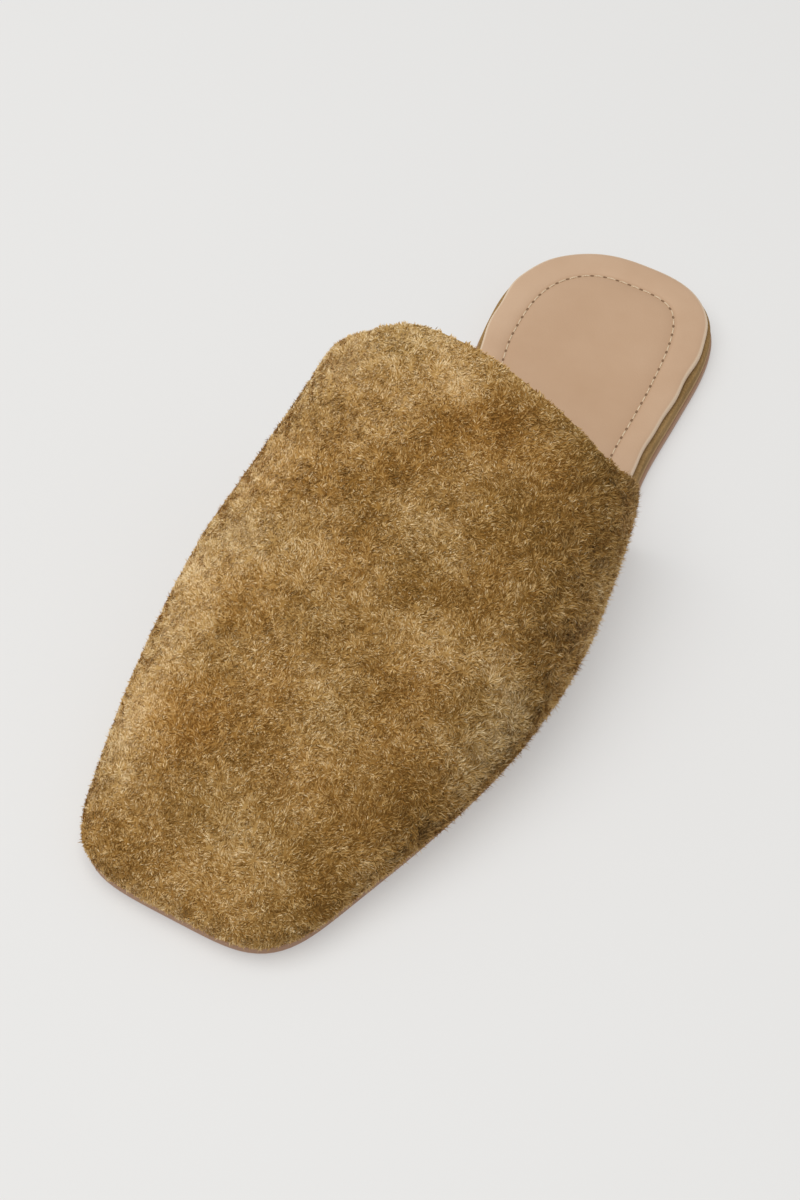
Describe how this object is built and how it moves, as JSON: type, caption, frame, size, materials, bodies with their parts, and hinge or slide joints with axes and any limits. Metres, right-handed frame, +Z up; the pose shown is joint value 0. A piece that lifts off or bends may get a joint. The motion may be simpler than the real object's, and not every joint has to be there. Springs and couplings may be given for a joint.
{
  "type": "slipper",
  "caption": "Flat open-heel slipper with a square toe, a shaggy suede upper, a padded leather insole and a thin leather sole.",
  "frame": {"origin": "on the floor, under the centre of the shoe's box", "axes": "+Y from toe to heel, +Z up, +X to the outer side of the left foot"},
  "size_m": [0.0994, 0.2734, 0.0704],
  "materials": {
    "sole_leather": "smooth sole leather, burnished edge",
    "wrap_suede": "short-napped olive suede wrap with a paler raw edge",
    "insole_leather": "soft natural leather, matte",
    "upper_suede": "long-napped shaggy suede, mottled tobacco and olive"
  },
  "bodies": {
    "root": {"outsole": "sole_leather", "midsole": "wrap_suede", "insole": "insole_leather", "upper": "upper_suede"}
  },
  "joints": []
}
